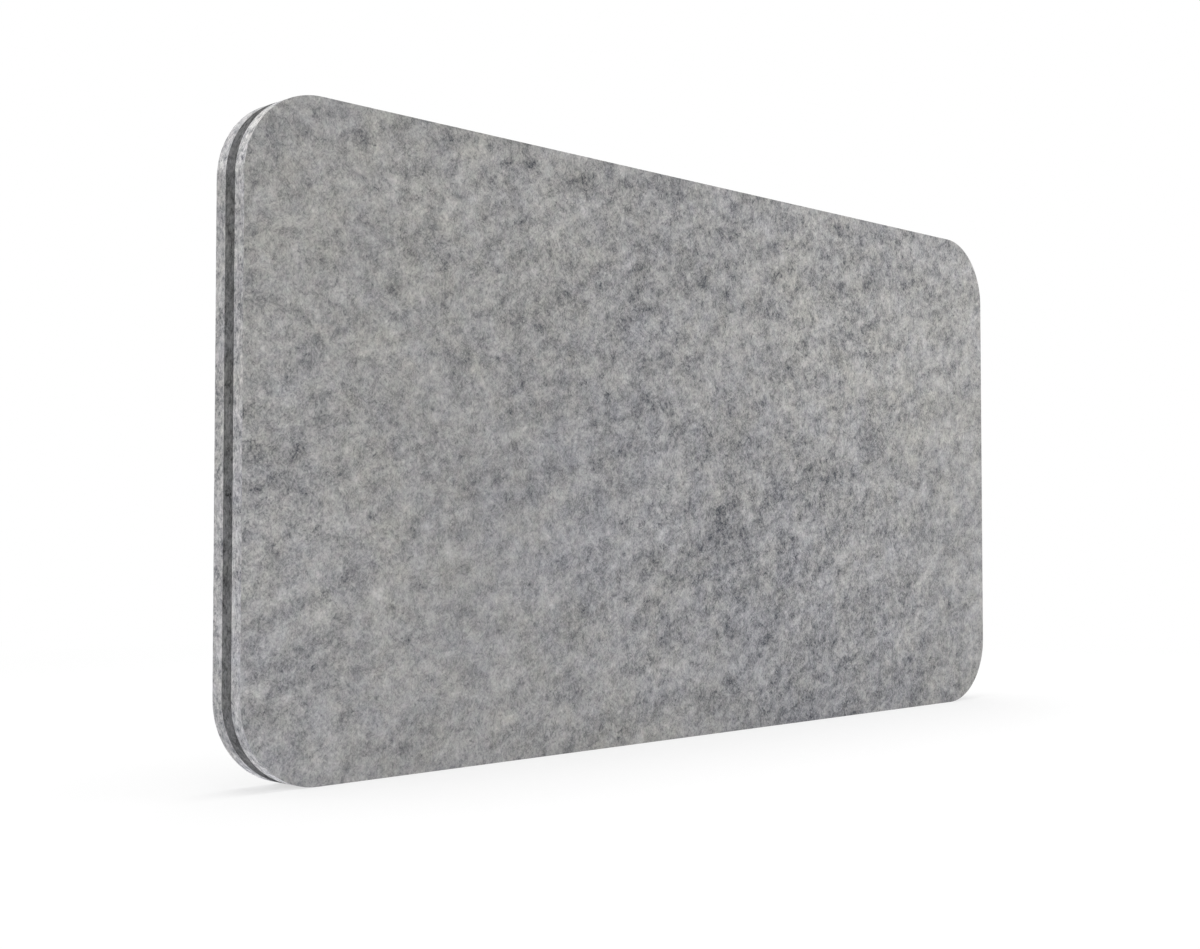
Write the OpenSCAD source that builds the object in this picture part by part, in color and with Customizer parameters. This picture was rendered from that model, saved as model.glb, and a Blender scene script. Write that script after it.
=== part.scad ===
// Acoustic divider screen: two light felt plies on a dark felt core, bonded flush and cut to
// one outline, with two anchor blocks let into the lower edge to take M6 bolts.
// X runs along the width, Y through the thickness and Z up from the lower edge.
// The front face looks along -Y.

/* [Screen] */
// Overall width of the screen
screen_w = 800; // [400:10:2000]
// Overall height of the screen
screen_h = 420; // [250:10:900]
// Radius of the four corners, seen from the front
corner_r = 55; // [5:1:120]

/* [Plies] */
// Thickness of each light outer ply
skin_t = 10; // [5:0.1:25]
// Thickness of the dark core ply
core_t = 9.6; // [6:0.1:14]
// Thickness of the hot-melt web that bonds an outer ply to the core
web_t = 0.2; // [0.1:0.05:0.6]
// Distance that a web stops short of the cut edge
web_setback = 1.5; // [0.5:0.5:6]

/* [Anchor blocks] */
// Distance from an end of the screen to the middle of the nearer block
block_inset = 150; // [85:5:340]
// Thickness of a block, which is more than the core's, so that it is keyed into all three plies
block_t = 15; // [12:0.5:20]
// Height of a block
block_h = 60; // [40:1:120]
// Width of a block's head, which keeps it from drawing down out of the felt
head_w = 70; // [56:1:110]
// Width of the neck under the head
neck_w = 46; // [40:1:60]
// Height of the neck
neck_h = 22; // [10:1:32]
// Radius of the head's corners, as the cutter leaves them in the felt
head_r = 5; // [2:0.5:12]
// Distance that a block's foot stands back from the lower edge
foot_setback = 0.5; // [0.1:0.1:3]
// Gap for glue all round a block
glue_gap = 0.2; // [0.1:0.05:0.5]

/* [Insert nuts] */
// Distance between the middles of a block's two nuts
nut_pitch = 26; // [16:1:32]
// Outside diameter of a nut
nut_d = 10; // [8:0.5:12]
// Length of a nut
nut_l = 15; // [8:1:22]
// Bore of a nut, which is the minor diameter of an M6 thread
thread_d = 5; // [4:0.1:6]
// Width of the driver slot across a nut's mouth
slot_w = 1.6; // [0.8:0.1:2.5]
// Depth of the driver slot
slot_depth = 1.8; // [0.5:0.1:3]
// Gap round a nut in its hole
nut_gap = 0.05; // [0.02:0.01:0.1]
// Diameter of the run-out hole above a nut, which clears a long bolt
runout_d = 6.6; // [6:0.1:8]
// Depth of the run-out hole, from the block's foot
runout_depth = 30; // [24:1:38]

/* [Hidden] */
front = -1;
rear = 1;
left = -1;
right = 1;
// Distance that a cut runs past the face it opens
overrun = 1;
// Middle of each block, to either side of the screen's own middle
block_x = screen_w / 2 - block_inset;
// Distance from the middle plane to a web, and to an outer ply
web_y = core_t / 2;
skin_y = web_y + web_t;
$fn = 96;

// A rectangle with round corners, centred in X and standing on the X axis
module rounded_rect(w, h, r) {
    translate([r - w / 2, 0]) square([w - 2 * r, h]);
    translate([-w / 2, r]) square([w, h - 2 * r]);
    for (x = [r - w / 2, w / 2 - r], z = [r, h - r])
        translate([x, z]) circle(r);
}

// Stands an outline upright, from near to near + t on one side of the middle plane
module upright(near, t, side = rear)
    translate([0, side == rear ? near + t : -near, 0])
        rotate([90, 0, 0]) linear_extrude(t) children();

// The outline that all the plies are cut to, drawn in by a setback
module screen_outline(setback = 0)
    translate([0, setback])
        rounded_rect(screen_w - 2 * setback, screen_h - 2 * setback, corner_r - setback);

// The outline of a block, grown by a gap, with its neck reaching down to the given height
module block_outline(gap, foot) {
    head_z = foot_setback + neck_h;
    head_h = block_h - neck_h;
    translate([0, head_z - gap])
        rounded_rect(head_w + 2 * gap, head_h + 2 * gap, head_r + gap);
    translate([-neck_w / 2 - gap, foot])
        square([neck_w + 2 * gap, head_z + head_h / 2 - foot]);
}

// The two pockets that take the blocks, open through the lower edge
module block_pockets() {
    pocket_t = block_t + 2 * glue_gap;
    for (side = [left, right])
        translate([side * block_x, 0, 0])
            upright(-pocket_t / 2, pocket_t) block_outline(glue_gap, -overrun);
}

// One sheet of the sandwich, with the pockets cut out of as much of it as they reach
module sheet(near, t, side = rear, setback = 0)
    difference() {
        upright(near, t, side) screen_outline(setback);
        block_pockets();
    }

module felt_skin(side)
    color("#A6A6A6") sheet(skin_y, skin_t, side);

module core_felt_ply()
    color("#5E5E5D") sheet(-core_t / 2, core_t);

module glue_web(side)
    color("#D9D6CC") sheet(web_y, web_t, side, web_setback);

// Puts its children at the mouth of each of a block's two nuts
module at_nuts(side)
    for (n = [left, right])
        translate([side * block_x + n * nut_pitch / 2, 0, foot_setback]) children();

module anchor_block(side)
    color("#CFAE7E") difference() {
        translate([side * block_x, 0, 0])
            upright(-block_t / 2, block_t) block_outline(0, foot_setback);
        at_nuts(side) translate([0, 0, -overrun]) {
            cylinder(d = nut_d + 2 * nut_gap, h = overrun + nut_l + nut_gap);
            cylinder(d = runout_d, h = overrun + runout_depth);
        }
    }

module insert_nuts(side)
    color("#B9BCBF") at_nuts(side) difference() {
        cylinder(d = nut_d, h = nut_l);
        translate([0, 0, -overrun]) cylinder(d = thread_d, h = nut_l + 2 * overrun);
        translate([-nut_d / 2 - overrun, -slot_w / 2, -overrun])
            cube([nut_d + 2 * overrun, slot_w, overrun + slot_depth]);
    }

felt_skin(front);  // front_felt_ply
glue_web(front);  // front_glue_web
core_felt_ply();
glue_web(rear);  // rear_glue_web
felt_skin(rear);  // rear_felt_ply
anchor_block(left);  // left_anchor_block
anchor_block(right);  // right_anchor_block
insert_nuts(left);  // left_insert_nuts
insert_nuts(right);  // right_insert_nuts
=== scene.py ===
# Desk screen of three felt plies, with two plywood blocks and four nuts let into its lower edge
import math
import bmesh
import bpy
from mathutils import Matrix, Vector, noise


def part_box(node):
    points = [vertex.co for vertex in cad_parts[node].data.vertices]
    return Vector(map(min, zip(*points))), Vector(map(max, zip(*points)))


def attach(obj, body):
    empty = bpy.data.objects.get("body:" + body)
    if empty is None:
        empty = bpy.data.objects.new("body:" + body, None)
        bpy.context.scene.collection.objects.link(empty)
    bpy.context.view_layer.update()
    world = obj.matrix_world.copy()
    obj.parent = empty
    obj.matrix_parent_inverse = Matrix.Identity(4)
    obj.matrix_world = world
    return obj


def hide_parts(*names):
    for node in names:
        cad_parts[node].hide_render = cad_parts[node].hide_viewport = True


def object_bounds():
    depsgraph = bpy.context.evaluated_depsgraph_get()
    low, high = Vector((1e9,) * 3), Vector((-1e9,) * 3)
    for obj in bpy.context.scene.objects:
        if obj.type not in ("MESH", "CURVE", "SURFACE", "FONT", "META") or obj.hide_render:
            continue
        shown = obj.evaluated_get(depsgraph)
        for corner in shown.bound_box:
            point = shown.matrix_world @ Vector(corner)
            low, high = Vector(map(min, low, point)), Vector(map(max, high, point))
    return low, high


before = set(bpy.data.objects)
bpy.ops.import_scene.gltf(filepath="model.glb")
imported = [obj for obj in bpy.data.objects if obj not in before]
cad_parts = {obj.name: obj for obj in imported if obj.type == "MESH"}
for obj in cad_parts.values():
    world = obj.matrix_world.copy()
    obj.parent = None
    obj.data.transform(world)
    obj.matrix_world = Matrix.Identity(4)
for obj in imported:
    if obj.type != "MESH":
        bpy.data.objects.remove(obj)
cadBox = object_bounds()
scene = bpy.context.scene
mm = 0.001
noiseMiddle = 0.5                # every noise swings about it
smoothly = {"interpolation_type": "SMOOTHSTEP"}
mixUnder, mixOver = 6, 7         # the places of a Mix node's two colours among its inputs
print("frame loaded,", len(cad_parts), "nodes")


# Small helpers

# an sRGB hex code as a linear colour
def linear(hexCode):
    channels = []
    for k in (1, 3, 5):
        s = int(hexCode[k:k + 2], 16) / 255
        channels.append(s / 12.92 if s <= 0.04045 else ((s + 0.055) / 1.055) ** 2.4)
    return (*channels, 1.0)


# Adds a node of any kind. Its inputs come in their own order or by name, each a value, a socket to
# link, or a node, which stands for its first output in use. Stops are for a colour ramp, and the
# rest are the node's settings.
def addNode(tree, kind, *inputs, named=None, stops=(), **settings):
    node = tree.nodes.new("ShaderNode" + kind)
    for key, value in settings.items():
        setattr(node, key, value)
    for k, (position, colour) in enumerate(stops):
        node.color_ramp.elements[k].position = position
        node.color_ramp.elements[k].color = linear(colour)
    for key, value in [*enumerate(inputs), *(named or {}).items()]:
        if isinstance(value, bpy.types.Node):
            value = next(output for output in value.outputs if output.enabled)
        if isinstance(value, bpy.types.NodeSocket):
            tree.links.new(value, node.inputs[key])
        else:
            node.inputs[key].default_value = value
    return node


def newMaterial(name):
    mat = bpy.data.materials.new(name)
    mat.use_nodes = True
    mat.node_tree.nodes.clear()
    return mat, mat.node_tree


# object coordinates in millimetres, so that every size below is a real one
def placeInMm(tree):
    place = addNode(tree, "TexCoord").outputs["Object"]
    return addNode(tree, "VectorMath", place, named={"Scale": 1 / mm}, operation="SCALE")


# A noise from its row in a dictionary: size is its lumps' in mm, stretch makes them longer along
# an axis, and shift, counted in lumps, is where it is read. Turn is in degrees about Y.
def lumps(tree, place, row, turn=0):
    aim = addNode(tree, "VectorRotate", rotation_type="Y_AXIS",
                  named={"Vector": place, "Angle": math.radians(turn)})
    scale = [1 / (row["size"] * s) for s in row.get("stretch", (1, 1, 1))]
    fit = addNode(tree, "VectorMath", aim, scale, row.get("shift", (0, 0, 0)),
                  operation="MULTIPLY_ADD")
    return addNode(tree, "TexNoise", named={"Vector": fit, "Scale": 1, "Detail": row["detail"],
                                            "Roughness": row["rough"]})


# adds to a value the amount times what a pattern swings to either side of its middle
def addSwing(tree, value, pattern, amount, middle=noiseMiddle):
    swing = addNode(tree, "Math", pattern, middle, operation="SUBTRACT")
    return addNode(tree, "Math", swing, amount, value, operation="MULTIPLY_ADD")


def makeObject(name, bm):
    bmesh.ops.recalc_face_normals(bm, faces=bm.faces)
    mesh = bpy.data.meshes.new(name)
    bm.to_mesh(mesh)
    bm.free()
    piece = bpy.data.objects.new(name, mesh)
    scene.collection.objects.link(piece)
    return piece


# takes the cutters out of a piece, deletes them, and shades edges from sharpFrom degrees as sharp
def cutOut(piece, cutters, sharpFrom=40):
    for cutter in cutters:
        cut = piece.modifiers.new("cut", "BOOLEAN")
        cut.operation = "DIFFERENCE"
        cut.object = cutter
        cut.solver = "EXACT"
    graph = bpy.context.evaluated_depsgraph_get()
    mesh = bpy.data.meshes.new_from_object(piece.evaluated_get(graph))
    piece.modifiers.clear()
    piece.data = mesh
    mesh.set_sharp_from_angle(angle=math.radians(sharpFrom))
    for cutter in cutters:
        bpy.data.objects.remove(cutter)


# Felt

# Polyester fibre, carded, needle-punched and pressed hot into a stiff board. Off-white and grey
# fibre are carded together, so the eye sees a dull marled grey with soft clouds, dark smudges
# along the lay and a haze of crossing hairs. A die-cut edge shows the same blend.
lightFelt = {
    "fibres": ((0, "#4B4E54"), (1, "#CCCBC9")),        # grey and off-white
    "tints": ((0.25, "#F9F9FF"), (0.75, "#FFFDF9")),   # cooler and warmer fibre
    "blushes": ((0.3, "#FAFEFC"), (0.7, "#FEFBFD")),   # greener and pinker fibre
    "paleShare": 0.54,
    "layAngle": 23,              # degrees above the horizontal, the way the card laid the web
    "layStretch": 1.05,

    # Patterns, with their sizes in mm. The amount is how much one counts where it is added. First
    # come the swirls, and how far in mm they carry the fibres.
    "curl": {"size": 30, "detail": 4, "rough": 0.7},
    "curlPush": 12,
    # slow changes of the blend, and of how strongly the marl shows
    "drift": {"size": 400, "detail": 3, "rough": 0.5, "shift": (53, 18, 37), "amount": 0.43},
    "lively": {"size": 500, "detail": 1, "rough": 0.5, "shift": (3, 53, 33), "amount": 1.35},
    # streaks along the lay, and clouds of one fibre or the other
    "streak": {"size": 15, "detail": 2, "rough": 0.7, "stretch": (2.2, 1, 1), "shift": (1, 2, 3),
               "amount": 0.72},
    "cloud": {"size": 10.5, "detail": 4, "rough": 0.92, "amount": 1.64},
    # Crossing hairs, and single fibres for a look from close by, both coarser than the real
    # 0.03 mm so that they show. Length is in mm between bends, and turns are degrees from the lay.
    "hair": {"size": 1.1, "length": 3.6, "turns": (20, 62, -62), "detail": 2, "rough": 0.65,
             "amount": 0.56},
    "fuzz": {"size": 0.35, "length": 4, "turns": (35, -85), "detail": 2, "rough": 0.65,
             "amount": 0.3},
    # Bundles of dark fibre that came to the surface: thin winding lines where a noise crosses
    # its middle, in patches. The line is half a bundle's width, as a band of the noise, and the
    # span is where the patches' own noise starts to let them show, and does so fully.
    "smudge": {"size": 8, "detail": 3, "rough": 0.55, "shift": (31, 7, 12), "amount": -0.22},
    "smudgeLine": 0.05,
    "smudgePatch": {"size": 12, "detail": 3, "rough": 0.6, "shift": (5, 40, 3)},
    "patchSpan": (0.5, 0.66),
    # warmer and cooler fibre, their slow change over the board, and greener and pinker fibre
    "tint": {"size": 26, "detail": 3, "rough": 0.75, "shift": (9, 9, 9)},
    "tintDrift": {"size": 300, "detail": 2, "rough": 0.5, "shift": (32, 17, 27), "amount": 0.9},
    "blush": {"size": 7, "detail": 4, "rough": 0.8, "shift": (21, 4, 13)},

    # The cut edge: how squarely a surface may look to the front or rear and still be cut, how far
    # off in mm its marl is read, and the tufts that show end on in it.
    "cutSpan": (0.5, 0.9),
    "cutShift": (60, 54, -43),
    "cutMarl": {"size": 2.8, "detail": 3, "rough": 0.7, "stretch": (1.4, 1, 1.4),
                "shift": (6, 6, 2), "amount": 1.5},
    "cutTint": "#FDFDFF",        # cut ends look a little cooler than the face
    # How much brighter the cut is painted round the outline, and where that begins: at the upper
    # corners partly paler combed fibre and partly painted light from above, at the lower corners
    # painted bounce light from the floor. A span is in the way that the cut faces: -1 is straight
    # down, 0 sideways and 1 straight up. The lower edge has nothing extra.
    "upperCorner": ((0, 0.2), 1.38),
    "lowerCornerPaintedLight": ((-0.97, -0.5), 2.4),
    "lowerEdge": (-0.99, -0.96),
    "upperEdge": ((0.93, 0.99), 1.12),
    "paintedDepthShade": (12, 1.03, 0.99),  # painted light and shade through the thickness: mm from the middle, and brightness there, front and rear

    "roughness": 0.98,
    "cloudRoughness": -0.12,     # pale fibre is a little smoother
    "bump": (0.35, 0.15),        # how strongly the hairs stand up, and their height in mm
    "ior": 1.45,
    "shine": 0.25,
    "sheen": 0.1,
    "sheenRoughness": 0.5,
}
darkFelt = dict(
    lightFelt,
    fibres=((0, "#222324"), (1, "#7B7B7B")),
    cutTint="#FDFEFF",
    # the core's cut gets weaker painted light round its corners, painted shade on its top edge, and
    # painted shade toward the front board with painted light toward the rear
    upperCorner=((0, 0.2), 1.15),
    lowerCornerPaintedLight=((-0.97, -0.5), 1.3),
    upperEdge=((0.45, 0.9), 0.9),
    paintedDepthShade=(4.8, 0.95, 1.05),
    shine=0.15,
    sheen=0.03,
)


def needleFelt(name, felt):
    mat, tree = newMaterial(name)
    place = placeInMm(tree)
    laid = addNode(tree, "VectorRotate", rotation_type="Y_AXIS",
                   named={"Vector": place, "Angle": math.radians(felt["layAngle"])})
    lay = addNode(tree, "VectorMath", laid, (1 / felt["layStretch"], 1, 1), operation="MULTIPLY")

    # the two faces look along Y, and the cut edge sideways, up or down
    facing = addNode(tree, "SeparateXYZ", addNode(tree, "TexCoord").outputs["Normal"])
    toFace = addNode(tree, "Math", facing.outputs["Y"], operation="ABSOLUTE")
    cut = addNode(tree, "MapRange", toFace, *felt["cutSpan"], 1, 0, **smoothly)

    # the fibres swirl, so most patterns are read at a place that a slow noise has pushed, and the
    # cut shows other fibres than the face beside it
    curl = lumps(tree, lay, felt["curl"]).outputs["Color"]
    layer = addNode(tree, "VectorMath", cut, felt["cutShift"], lay, operation="MULTIPLY_ADD")
    swirl = addNode(tree, "VectorMath", curl, [felt["curlPush"]] * 3, layer,
                    operation="MULTIPLY_ADD")
    streaks = lumps(tree, swirl, felt["streak"])
    clouds = lumps(tree, swirl, felt["cloud"])

    # lays of hairs that cross, and finer lays over them
    lays = []
    for row in (felt["hair"], felt["fuzz"]):
        slim = (row["length"] / row["size"], 1, 1)
        crossed = 0.0
        for turn in row["turns"]:
            hair = lumps(tree, swirl, dict(row, stretch=slim, shift=(turn, 0, 0)), turn)
            crossed = addNode(tree, "Math", hair, crossed, operation="ADD")
        lays.append(crossed)
    hairs, fuzz = lays

    # smudges along the lines, kept only in patches
    line = addNode(tree, "Math", lumps(tree, swirl, felt["smudge"]), noiseMiddle,
                   operation="SUBTRACT")
    offLine = addNode(tree, "Math", line, operation="ABSOLUTE")
    stroke = addNode(tree, "MapRange", offLine, 0, felt["smudgeLine"], 1, 0, **smoothly)
    patch = addNode(tree, "MapRange", lumps(tree, lay, felt["smudgePatch"]), *felt["patchSpan"],
                    **smoothly)
    smudges = addNode(tree, "Math", stroke, patch, operation="MULTIPLY")

    # tufts end on, in the cut alone
    tufts = addNode(tree, "Math", lumps(tree, place, felt["cutMarl"]), noiseMiddle,
                    operation="SUBTRACT")
    tufts = addNode(tree, "Math", cut, tufts, operation="MULTIPLY")

    # the share of pale fibre, where the marl shows more strongly in some parts of the board
    hairMiddle, fuzzMiddle = [noiseMiddle * len(felt[kind]["turns"]) for kind in ("hair", "fuzz")]
    marl = 0.0
    for pattern, middle, row in ((streaks, noiseMiddle, felt["streak"]),
                                 (clouds, noiseMiddle, felt["cloud"]),
                                 (hairs, hairMiddle, felt["hair"]),
                                 (fuzz, fuzzMiddle, felt["fuzz"]),
                                 (smudges, 0, felt["smudge"])):
        marl = addSwing(tree, marl, pattern, row["amount"], middle)
    lively = addSwing(tree, 1, lumps(tree, lay, felt["lively"]), felt["lively"]["amount"])
    share = addNode(tree, "Math", marl, lively, felt["paleShare"], operation="MULTIPLY_ADD")
    share = addSwing(tree, share, lumps(tree, lay, felt["drift"]), felt["drift"]["amount"])
    share = addNode(tree, "Math", tufts, felt["cutMarl"]["amount"], share,
                    operation="MULTIPLY_ADD")

    # its colour, with the tints over it
    warmth = addSwing(tree, lumps(tree, swirl, felt["tint"]), lumps(tree, lay, felt["tintDrift"]),
                      felt["tintDrift"]["amount"])
    tint = addNode(tree, "ValToRGB", warmth, stops=felt["tints"])
    blush = addNode(tree, "ValToRGB", lumps(tree, lay, felt["blush"]), stops=felt["blushes"])
    colour = addNode(tree, "ValToRGB", share, stops=felt["fibres"])
    for part, over in ((1, tint), (1, blush), (cut, linear(felt["cutTint"]))):
        colour = addNode(tree, "Mix", part, named={mixUnder: colour, mixOver: over},
                         data_type="RGBA", blend_type="MULTIPLY")

    # Which way the cut faces round the outline, from -1 straight down to 1 straight up. On the
    # board's two faces it has no meaning, and the guard keeps it from a division by 0.
    guard = 1.001
    squared = addNode(tree, "Math", facing.outputs["Y"], facing.outputs["Y"], operation="MULTIPLY")
    sideways = addNode(tree, "Math", guard, squared, operation="SUBTRACT")
    sideways = addNode(tree, "Math", sideways, operation="SQRT")
    up = addNode(tree, "Math", facing.outputs["Z"], sideways, operation="DIVIDE")

    # how bright the cut is painted there: paler combed fibre and painted light round the upper
    # corners, painted bounce light round the lower ones, and painted light and shade through the
    # ply's thickness
    upperSpan, upper = felt["upperCorner"]
    lowerSpan, lower = felt["lowerCornerPaintedLight"]
    edgeSpan, edge = felt["upperEdge"]
    half, toFront, toRear = felt["paintedDepthShade"]
    depth = addNode(tree, "SeparateXYZ", place).outputs["Y"]
    combedAndPaintedLight = 1.0
    for source, span, start, stop in ((up, upperSpan, 1, upper),
                                      (up, lowerSpan, lower, 1),
                                      (up, felt["lowerEdge"], 1 / lower, 1),
                                      (up, edgeSpan, 1, edge / upper),
                                      (depth, (-half, half), toFront, toRear)):
        step = addNode(tree, "MapRange", source, *span, start, stop, **smoothly)
        combedAndPaintedLight = addNode(tree, "Math", combedAndPaintedLight, step, operation="MULTIPLY")
    # the painted light and shade count only on the cut
    combedAndPaintedLight = addSwing(tree, 1, combedAndPaintedLight, cut, middle=1)
    colour = addNode(tree, "VectorMath", colour, named={"Scale": combedAndPaintedLight}, operation="SCALE")

    rough = addNode(tree, "Math", clouds, felt["cloudRoughness"], felt["roughness"],
                    operation="MULTIPLY_ADD")
    strength, height = felt["bump"]
    bump = addNode(tree, "Bump", named={"Height": hairs, "Strength": strength,
                                        "Distance": height * mm})
    shader = addNode(tree, "BsdfPrincipled", named={
        "Base Color": colour, "Roughness": rough, "IOR": felt["ior"], "Normal": bump,
        "Specular IOR Level": felt["shine"], "Sheen Weight": felt["sheen"],
        "Sheen Roughness": felt["sheenRoughness"]})
    addNode(tree, "OutputMaterial", shader)
    return mat


plyShape = {
    "cornerRadius": 55 * mm,
    "faceArris": 0.18 * mm,      # rounding where the face meets the cut edge
    "rimCell": 0.5 * mm,         # a narrow row of cells round the face, which keeps the arris crisp
    "seamArris": 0.08 * mm,      # rounding beside a seam
    "arrisSteps": 3,
    "cell": 3 * mm,              # spacing of the points over the face
    "edgeRows": 5,               # rows of points through the thickness
    "faceRelief": 0.10 * mm,
    "faceLumps": (14 * mm, 5 * mm),
    "edgeRelief": 0.12 * mm,
    "edgeLumps": (5 * mm, 1.8 * mm),
}


# The lines of a grid that follows a rounded rectangle, each as (base, reach): with the rim at a
# distance r from the corner's middle, the line lies at base + reach * r
def gridLines(half, radius, cell):
    steps = round(radius * math.pi / 4 / cell)
    reach = [math.tan(math.pi / 4 * k / steps) for k in range(1, steps)]
    reach += [1 - plyShape["rimCell"] / radius, 1]
    count = round(2 * (half - radius) / cell)
    low = [(radius - half, -r) for r in reversed(reach)]
    straight = [((2 * k / count - 1) * (half - radius), 0) for k in range(count + 1)]
    high = [(half - radius, r) for r in reach]
    return low + straight + high


# where two grid lines cross, with each corner's square pulled in to a quarter circle
def plyPoint(lineX, lineZ, rim):
    (baseX, reachX), (baseZ, reachZ) = lineX, lineZ
    pull = rim
    if reachX and reachZ:
        pull *= max(abs(reachX), abs(reachZ)) / math.hypot(reachX, reachZ)
    return baseX + reachX * pull, baseZ + reachZ * pull


# how far the felt stands up or sinks in at a point, from broad lumps and finer ones on them
def relief(point, height, sizes):
    return height * sum(noise.noise(point / size) / (k + 1) for k, size in enumerate(sizes))


# one board of felt: side is -1 for the front ply, 1 for the rear ply and 0 for the core
def feltBoard(name, node, side, material):
    low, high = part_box(node)
    radius = plyShape["cornerRadius"]
    midX, midZ = (low[0] + high[0]) / 2, (low[2] + high[2]) / 2
    xs = gridLines((high[0] - low[0]) / 2, radius, plyShape["cell"])
    zs = gridLines((high[2] - low[2]) / 2, radius, plyShape["cell"])
    out = side or -1
    yOuter, yInner = (low[1], high[1]) if out < 0 else (high[1], low[1])
    outerArris = plyShape["faceArris" if side else "seamArris"]
    innerArris = plyShape["seamArris"]

    # the section of the cut edge, from the outer face to the inner one, as (inset, y, relief)
    steps, rows = plyShape["arrisSteps"], plyShape["edgeRows"]
    section = []
    for k in range(steps + 1):
        a = math.pi / 2 * k / steps
        inset = outerArris * (1 - math.sin(a))
        section.append((inset, yOuter - out * outerArris * (1 - math.cos(a)), k / steps))
    yStart, yStop = section[-1][1], yInner + out * innerArris
    for k in range(1, rows + 1):
        section.append((0, yStart + (yStop - yStart) * k / rows, 1 if k < rows else 0))
    section.append((innerArris, yInner, 0))

    lastX, lastZ = len(xs) - 1, len(zs) - 1
    rim = ([(i, 0) for i in range(lastX)] + [(lastX, j) for j in range(lastZ)]
           + [(i, lastZ) for i in range(lastX, 0, -1)] + [(0, j) for j in range(lastZ, 0, -1)])

    # a point of the edge, moved in or out but never below the floor, where outward is away from
    # the same point half a radius in
    def edgePoint(i, j, inset, y, share):
        x, z = plyPoint(xs[i], zs[j], radius - inset)
        innerX, innerZ = plyPoint(xs[i], zs[j], radius / 2)
        outward = Vector((x - innerX, 0, z - innerZ)).normalized()
        point = Vector((x + midX, y, z + midZ))
        point += outward * share * relief(point, plyShape["edgeRelief"], plyShape["edgeLumps"])
        point.z = max(point.z, low[2])
        return point

    bm = bmesh.new()
    rings = []
    if side:
        grid = {}
        for i, lineX in enumerate(xs):
            for j, lineZ in enumerate(zs):
                x, z = plyPoint(lineX, lineZ, radius - outerArris)
                point = Vector((x + midX, yOuter, z + midZ))
                if 0 < i < lastX and 0 < j < lastZ:
                    point.y += out * relief(point, plyShape["faceRelief"], plyShape["faceLumps"])
                grid[i, j] = bm.verts.new(point)
        for i in range(lastX):
            for j in range(lastZ):
                bm.faces.new((grid[i, j], grid[i + 1, j], grid[i + 1, j + 1], grid[i, j + 1]))
        rings.append([grid[place] for place in rim])
    else:
        rings.append([bm.verts.new(edgePoint(i, j, *section[0])) for i, j in rim])
        bm.faces.new(rings[0])
    for step in section[1:]:
        rings.append([bm.verts.new(edgePoint(i, j, *step)) for i, j in rim])
    band = []
    for near, far in zip(rings, rings[1:]):
        for k in range(len(rim)):
            nxt = (k + 1) % len(rim)
            band.append(bm.faces.new((near[k], near[nxt], far[nxt], far[k])))
    bm.faces.new(rings[-1])
    for face in bm.faces:
        face.smooth = len(face.verts) == 4
    bmesh.ops.triangulate(bm, faces=band)      # triangles are flat, so the cutter leaves no slivers
    board = makeObject(name, bm)
    board.data.materials.append(material)
    return board


# the hole that the cutter leaves in the felt for one block, open at the lower edge
pocketShape = {
    "gap": 0.2 * mm,
    "neckWidth": 46 * mm,
    "neckTop": 22.5 * mm,
    "headTop": 60.5 * mm,
    "headRadius": 5 * mm,
    "cornerSteps": 6,
    "below": -5 * mm,            # how far the cutter reaches past the lower edge
}


def pocketCutter(block):
    low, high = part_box(block)
    gap = pocketShape["gap"]
    midX = (low[0] + high[0]) / 2
    neck = pocketShape["neckWidth"] / 2 + gap
    head = (high[0] - low[0]) / 2 + gap
    foot, top = pocketShape["neckTop"] - gap, pocketShape["headTop"] + gap
    r = pocketShape["headRadius"] + gap
    outline = [(neck, pocketShape["below"]), (neck, foot)]
    for midArcZ, start in ((foot + r, -90), (top - r, 0)):
        for k in range(pocketShape["cornerSteps"] + 1):
            a = math.radians(start + 90 * k / pocketShape["cornerSteps"])
            outline.append((head - r + r * math.cos(a), midArcZ + r * math.sin(a)))
    outline += [(-x, z) for x, z in reversed(outline)]
    bm = bmesh.new()
    near = [bm.verts.new((midX + x, low[1] - gap, z)) for x, z in outline]
    far = [bm.verts.new((midX + x, high[1] + gap, z)) for x, z in outline]
    for k in range(len(outline)):
        nxt = (k + 1) % len(outline)
        bm.faces.new((near[k], near[nxt], far[nxt], far[k]))
    bm.faces.new(near)
    bm.faces.new(far)
    return makeObject("cutter", bm)


lightMat = needleFelt("light grey needle felt", lightFelt)
darkMat = needleFelt("dark grey needle felt", darkFelt)
for node, side, mat, slotName in (("front_felt_ply", -1, lightMat, "light_felt"),
                                  ("core_felt_ply", 0, darkMat, "dark_felt"),
                                  ("rear_felt_ply", 1, lightMat, "light_felt")):
    board = feltBoard(node.replace("_ply", "_board"), node, side, mat)
    cutOut(board, [pocketCutter("left_anchor_block"), pocketCutter("right_anchor_block")])
    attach(board, "root")
    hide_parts(node)
    print(board.name, "made,", len(board.data.polygons), "faces")


# Glue webs

# Co-polyamide web, melted between the plies: a milky film with thin places between its strands
glueWeb = {
    "film": ((0, "#DEDACB"), (1, "#9A968A")),          # over a strand, and where it is thinnest
    "mesh": 2.2,                 # mm between strands
    "thinSpan": (0.04, 0.3),     # of the mesh, from a strand's side to where the film is thinnest
    "patch": {"size": 8.8, "detail": 3, "rough": 0.6},     # mm, where the thin places gather
    "roughness": 0.45,
    "thinRoughness": 0.3,        # more where it is thinnest
    "bump": (0.4, 0.1),          # how strongly the strands stand up, and their height in mm
    "ior": 1.53,
}


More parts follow.
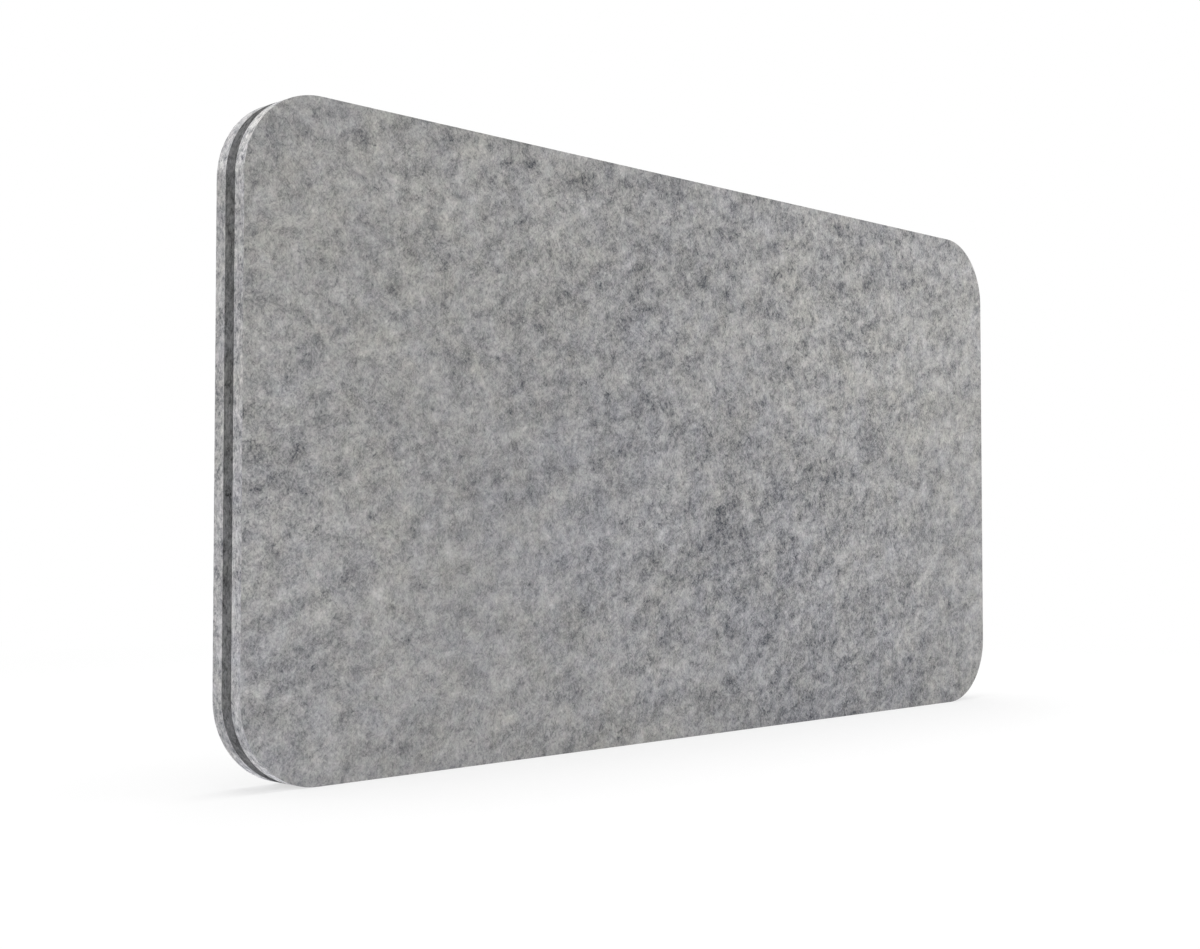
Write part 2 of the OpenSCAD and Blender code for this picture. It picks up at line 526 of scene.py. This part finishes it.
def meltedWeb(name, web):
    mat, tree = newMaterial(name)
    place = placeInMm(tree)
    strands = addNode(tree, "TexVoronoi", feature="DISTANCE_TO_EDGE",
                      named={"Vector": place, "Scale": 1 / web["mesh"]})
    between = addNode(tree, "MapRange", strands, *web["thinSpan"], **smoothly)
    thin = addNode(tree, "Math", between, lumps(tree, place, web["patch"]), operation="MULTIPLY")
    colour = addNode(tree, "ValToRGB", thin, stops=web["film"])
    rough = addNode(tree, "Math", thin, web["thinRoughness"], web["roughness"],
                    operation="MULTIPLY_ADD")
    thick = addNode(tree, "Math", 1, thin, operation="SUBTRACT")
    strength, height = web["bump"]
    bump = addNode(tree, "Bump", named={"Height": thick, "Strength": strength,
                                        "Distance": height * mm})
    shader = addNode(tree, "BsdfPrincipled", named={
        "Base Color": colour, "Roughness": rough, "IOR": web["ior"], "Normal": bump})
    addNode(tree, "OutputMaterial", shader)
    return mat


# Anchor blocks

# Birch plywood, sawn and sanded: pale straw veneers whose grain turns a right angle from one to
# the next, so long streaks and darker end grain take turns, with a thin brown glue line between
birchPly = {
    "veneer": 15 / 11,           # mm, eleven veneers in 15 mm
    "halfBlock": 7.5,            # mm, from the middle of the block to its first veneer
    "wood": ((0.3, "#C19D6C"), (0.6, "#E2C99F")),      # dark and pale streaks of the grain
    "grain": {"size": 0.35, "detail": 3, "rough": 0.6},    # mm across a streak
    "grainLength": 28,           # mm along it
    # pores, coarser than the real 0.06 mm so that they show
    "pore": {"size": 0.25, "detail": 2, "rough": 0.5, "amount": 0.5},
    "lyingShift": (4, 0, 0),     # where a lying veneer's grain is read, and an upright one's
    "uprightShift": (0, 0, 9),
    "endGrain": "#A98053",
    "endGrainShare": 0.7,
    "endSpan": (0.5, 0.8),       # how squarely a surface looks along the grain to show its end
    "glueLine": "#6A4A2C",
    "glueShare": 0.07,           # of a veneer's thickness
    "saw": {"size": 0.6, "detail": 2, "rough": 0.6, "stretch": (8, 1, 1)},     # mm, its marks
    "roughness": 0.62,
    "sawRoughness": 0.2,
    "bump": (0.5, 0.08),         # how strongly the marks stand up, and their height in mm
    "ior": 1.5,
    "shine": 0.4,
}


def birchPlywood(name, ply):
    mat, tree = newMaterial(name)
    place = placeInMm(tree)

    # veneers are counted from the front, and every second one stands upright
    y = addNode(tree, "SeparateXYZ", place).outputs["Y"]
    depth = addNode(tree, "Math", y, ply["halfBlock"], operation="ADD")
    depth = addNode(tree, "Math", depth, ply["veneer"], operation="DIVIDE")
    inPair = addNode(tree, "Math", depth, 2, operation="FLOORED_MODULO")
    upright = addNode(tree, "Math", inPair, 1, operation="LESS_THAN")
    lying = addNode(tree, "Math", 1, upright, operation="SUBTRACT")

    streak = ply["grainLength"] / ply["grain"]["size"]
    colours = []
    for stretch, shift in (((streak, 1, 1), ply["lyingShift"]),
                           ((1, 1, streak), ply["uprightShift"])):
        wood = lumps(tree, place, dict(ply["grain"], stretch=stretch, shift=shift))
        pores = lumps(tree, place, dict(ply["pore"], stretch=stretch, shift=shift))
        grain = addSwing(tree, wood, pores, ply["pore"]["amount"])
        colours.append(addNode(tree, "ValToRGB", grain, stops=ply["wood"]))
    alongX, alongZ = colours
    colour = addNode(tree, "Mix", upright, named={mixUnder: alongX, mixOver: alongZ},
                     data_type="RGBA")

    # an upright veneer shows its end grain on the foot, and a lying one on the ends
    facing = addNode(tree, "SeparateXYZ", addNode(tree, "TexCoord").outputs["Normal"])
    ends = []
    for axis, veneers in (("Z", upright), ("X", lying)):
        square = addNode(tree, "Math", facing.outputs[axis], operation="ABSOLUTE")
        square = addNode(tree, "MapRange", square, *ply["endSpan"], **smoothly)
        ends.append(addNode(tree, "Math", square, veneers, operation="MULTIPLY"))
    cut = addNode(tree, "Math", *ends, operation="ADD")
    cut = addNode(tree, "Math", cut, ply["endGrainShare"], operation="MULTIPLY")
    colour = addNode(tree, "Mix", cut, data_type="RGBA", blend_type="MULTIPLY",
                     named={mixUnder: colour, mixOver: linear(ply["endGrain"])})

    # a glue line lies where a veneer ends, half its thickness from its middle
    halfVeneer = 0.5
    inVeneer = addNode(tree, "Math", depth, operation="FRACT")
    fromMiddle = addNode(tree, "Math", inVeneer, halfVeneer, operation="SUBTRACT")
    fromMiddle = addNode(tree, "Math", fromMiddle, operation="ABSOLUTE")
    glue = addNode(tree, "MapRange", fromMiddle, halfVeneer - ply["glueShare"], halfVeneer,
                   **smoothly)
    colour = addNode(tree, "Mix", glue, data_type="RGBA",
                     named={mixUnder: colour, mixOver: linear(ply["glueLine"])})

    saw = lumps(tree, place, ply["saw"])
    rough = addNode(tree, "Math", saw, ply["sawRoughness"], ply["roughness"],
                    operation="MULTIPLY_ADD")
    sanded = addNode(tree, "Math", saw, glue, operation="SUBTRACT")
    strength, height = ply["bump"]
    bump = addNode(tree, "Bump", named={"Height": sanded, "Strength": strength,
                                        "Distance": height * mm})
    shader = addNode(tree, "BsdfPrincipled", named={
        "Base Color": colour, "Roughness": rough, "IOR": ply["ior"], "Normal": bump,
        "Specular IOR Level": ply["shine"]})
    addNode(tree, "OutputMaterial", shader)
    return mat


webMat = meltedWeb("melted co-polyamide web", glueWeb)
birchMat = birchPlywood("sanded birch plywood", birchPly)
for mat, names in ((webMat, ("front_glue_web", "rear_glue_web")),
                   (birchMat, ("left_anchor_block", "right_anchor_block"))):
    for name in names:
        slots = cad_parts[name].data.materials
        slots.clear()
        slots.append(mat)
print("glue webs and anchor blocks finished")


# Insert nuts

# Free-cutting steel, turned, threaded and zinc-plated: bright blue-grey metal with faint turning
# rings, a satin gleam and slightly duller, yellower patches
zincPlate = {
    "plate": ((0.35, "#B4B9BF"), (0.75, "#8F8E86")),   # bright and dull
    "patch": {"size": 3, "detail": 4, "rough": 0.6},
    # turning rings, coarser than the real 0.1 mm so that they show
    "ring": {"size": 0.35, "detail": 2, "rough": 0.5, "stretch": (20, 20, 1)},
    "roughness": 0.28,
    "dullRoughness": 0.2,        # more in the dull patches
    "bump": (0.3, 0.02),         # how strongly the rings stand up, and their height in mm
}
nutShape = {
    "outer": 10 * mm,
    "mouthBreak": 0.4 * mm,      # chamfer round the rim
    "bore": 5 * mm,              # over the crests of the M6 thread
    "threadRoot": 6 * mm,
    "pitch": 1 * mm,
    "leadIn": 0.5 * mm,          # depth of the countersink at each end of the thread
    "pitchRows": 6,
    "crestRows": 2,
    "sides": 36,
    "slotWidth": 1.6 * mm,
    "slotDepth": 1.8 * mm,
    "nutPitch": 26 * mm,
}


def zincSteel(name, zinc):
    mat, tree = newMaterial(name)
    place = placeInMm(tree)
    patches = lumps(tree, place, zinc["patch"])
    colour = addNode(tree, "ValToRGB", patches, stops=zinc["plate"])
    rough = addNode(tree, "Math", patches, zinc["dullRoughness"], zinc["roughness"],
                    operation="MULTIPLY_ADD")
    strength, height = zinc["bump"]
    bump = addNode(tree, "Bump", named={"Height": lumps(tree, place, zinc["ring"]),
                                        "Strength": strength, "Distance": height * mm})
    shader = addNode(tree, "BsdfPrincipled", named={
        "Base Color": colour, "Metallic": 1, "Roughness": rough, "Normal": bump})
    addNode(tree, "OutputMaterial", shader)
    return mat


# One nut standing on its mouth, with a real right-hand thread. Each column of the bore starts a
# little higher than the one before, so the rows wind up, and the last column meets the first one
# a whole pitch higher.
def addNut(bm, x, y, foot, top):
    sides, rows = nutShape["sides"], nutShape["pitchRows"]
    crest, root = nutShape["bore"] / 2, nutShape["threadRoot"] / 2
    rowStep = nutShape["pitch"] / rows
    start = foot + nutShape["leadIn"]
    count = int((top - foot - 2 * nutShape["leadIn"] - nutShape["pitch"]) / rowStep)
    angles = [2 * math.pi * k / sides for k in range(sides)]
    turns = [(math.cos(a), math.sin(a)) for a in angles]

    def ring(radius, z):
        return [bm.verts.new((x + radius * c, y + radius * s, z)) for c, s in turns]

    def depthAt(row):
        flat = nutShape["crestRows"] / rows
        phase = (row % rows) / rows
        slope = max(0.0, phase - flat) / (1 - flat)
        return 1 - abs(2 * slope - 1)

    columns = []
    for k, (c, s) in enumerate(turns):
        column = []
        for row in range(count + 1):
            radius = crest + (root - crest) * depthAt(row)
            z = start + rowStep * (row + rows * k / sides)
            column.append(bm.verts.new((x + radius * c, y + radius * s, z)))
        columns.append(column)

    chamfer = nutShape["mouthBreak"]
    outer = nutShape["outer"] / 2
    mouthIn, mouthOut = ring(root + chamfer / 2, foot), ring(outer - chamfer, foot)
    sideLow, sideHigh = ring(outer, foot + chamfer), ring(outer, top - chamfer)
    backOut, backIn = ring(outer - chamfer, top), ring(root + chamfer / 2, top)
    skins = [mouthIn, mouthOut, sideLow, sideHigh, backOut, backIn]
    for near, far in zip(skins, skins[1:]):
        for k in range(sides):
            nxt = (k + 1) % sides
            bm.faces.new((near[k], near[nxt], far[nxt], far[k]))
    for k in range(sides - 1):
        here, nxt = columns[k], columns[k + 1]
        bm.faces.new((mouthIn[k], mouthIn[k + 1], nxt[0], here[0]))
        bm.faces.new((here[-1], nxt[-1], backIn[k + 1], backIn[k]))
        for row in range(count):
            bm.faces.new((here[row], nxt[row], nxt[row + 1], here[row + 1]))
    first, last = columns[0], columns[-1]
    for row in range(count - rows):
        bm.faces.new((last[row], first[row + rows], first[row + rows + 1], last[row + 1]))

    # a fan closes the step of one pitch at each end of the thread
    bm.faces.new((mouthIn[-1], mouthIn[0], first[0], last[0]))
    bm.faces.new((first[-1], last[-1], backIn[-1], backIn[0]))
    for row in range(rows):
        bm.faces.new((last[0], first[row], first[row + 1]))
        bm.faces.new((first[-1], last[count - row], last[count - row - 1]))


def slotCutter(x, y, foot):
    reach = nutShape["outer"]
    bm = bmesh.new()
    bmesh.ops.create_cube(bm, size=1)
    for v in bm.verts:
        v.co = (x + v.co.x * 2 * reach, y + v.co.y * nutShape["slotWidth"],
                foot + (nutShape["slotDepth"] if v.co.z > 0 else -reach))
    return makeObject("cutter", bm)


zincMat = zincSteel("turned zinc-plated steel", zincPlate)
for sideName in ("left", "right"):
    node = sideName + "_insert_nuts"
    low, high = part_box(node)
    middle = (low[0] + high[0]) / 2
    places = [middle + share * nutShape["nutPitch"] / 2 for share in (-1, 1)]
    bm = bmesh.new()
    for x in places:
        addNut(bm, x, 0, low[2], high[2])
    bmesh.ops.triangulate(bm, faces=bm.faces)
    for face in bm.faces:
        face.smooth = True
    nuts = makeObject(sideName + "_threaded_nuts", bm)
    cutOut(nuts, [slotCutter(x, 0, low[2]) for x in places])
    nuts.data.materials.clear()
    nuts.data.materials.append(zincMat)
    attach(nuts, "root")
    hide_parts(node)
    print(nuts.name, "made,", len(nuts.data.polygons), "faces")


# Camera

view = {
    "place": (-0.92666, -0.83365, 0.154245),
    "yaw": 45.141,               # degrees from straight at the front face
    "pitch": 1.983,              # degrees up
    "lens": 48.93,               # mm
    "sensor": 36,                # mm
    "sight": 50,                 # m, how far it sees
}
camData = bpy.data.cameras.new("camera")
camData.lens = view["lens"]
camData.sensor_width = view["sensor"]
camData.clip_end = view["sight"]
camera = bpy.data.objects.new("camera", camData)
camera.location = view["place"]
camera.rotation_euler = (math.radians(90 + view["pitch"]), 0, math.radians(-view["yaw"]))
scene.collection.objects.link(camera)
scene.camera = camera
scene.view_settings.view_transform = "Standard"


# Floor, lamps and sky

# places and sizes are in metres, and power in watts
studio = {
    "skyColour": "#FFFFFF",
    "skyLight": 0.65,            # its strength on the object, where 1 shows as white
    "floorColour": "#F2F2F2",
    "floorHalf": 8,
    "floorGap": 0.1 * mm,        # keeps the paper clear of the felt's lower edge
    "glowColour": "#FFFFFF",
    "glowNear": 0.65,            # share of plain white in the paper near the object
    "glowSpan": (0.6, 1.3),      # from the middle, where that share grows to all
    "overhead": {"place": (0, 0, 2.4), "aim": (0, 0, 0), "size": (2.4, 1.6), "power": 38},
    "leftFill": {"place": (-2.4, 0.2, 0.7), "aim": (-0.4, 0, 0.2), "size": (1.4, 1.2),
                 "power": 8.5},
    "rightFill": {"place": (0.8, -0.55, 0.36), "aim": (0.45, 0, 0.2), "size": (0.5, 0.5),
                  "power": 0.88},
}


# 1 for the rays that carry a background to the eye: straight, mirrored or through glass
def seenRays(tree):
    rays = addNode(tree, "LightPath").outputs
    seen = addNode(tree, "Math", rays["Is Camera Ray"], rays["Is Glossy Ray"], operation="MAXIMUM")
    return addNode(tree, "Math", seen, rays["Is Transmission Ray"], operation="MAXIMUM")


# White paper, matt and even: it keeps the object's shadow close by and runs out to plain white
def makeFloor():
    mat, tree = newMaterial("matt white paper")
    away = addNode(tree, "VectorMath", addNode(tree, "TexCoord").outputs["Object"],
                   operation="LENGTH")
    spread = addNode(tree, "MapRange", away, *studio["glowSpan"], studio["glowNear"], 1,
                     **smoothly)
    share = addNode(tree, "Math", seenRays(tree), spread, operation="MULTIPLY")
    paper = addNode(tree, "BsdfDiffuse", linear(studio["floorColour"]))
    glow = addNode(tree, "Emission", linear(studio["glowColour"]), 1)
    addNode(tree, "OutputMaterial", addNode(tree, "MixShader", share, paper, glow))
    bm = bmesh.new()
    bmesh.ops.create_grid(bm, x_segments=1, y_segments=1, size=studio["floorHalf"])
    floor = makeObject("floor", bm)
    floor.location.z = cadBox[0][2] - studio["floorGap"]
    floor.data.materials.append(mat)


def softbox(name):
    lamp = studio[name]
    data = bpy.data.lights.new(name, "AREA")
    data.shape = "RECTANGLE"
    data.size, data.size_y = lamp["size"]
    data.energy = lamp["power"]
    box = bpy.data.objects.new(name, data)
    box.location = lamp["place"]
    beam = Vector(lamp["aim"]) - Vector(lamp["place"])
    box.rotation_euler = beam.to_track_quat("-Z", "Y").to_euler()
    scene.collection.objects.link(box)


makeFloor()
for name in ("overhead", "leftFill", "rightFill"):
    softbox(name)
world = bpy.data.worlds.new("studio")
world.use_nodes = True
tree = world.node_tree
tree.nodes.clear()
strength = addNode(tree, "MapRange", seenRays(tree), 0, 1, studio["skyLight"], 1, **smoothly)
sky = addNode(tree, "Background", linear(studio["skyColour"]), strength)
addNode(tree, "OutputWorld", sky)
scene.world = world
print("studio ready")
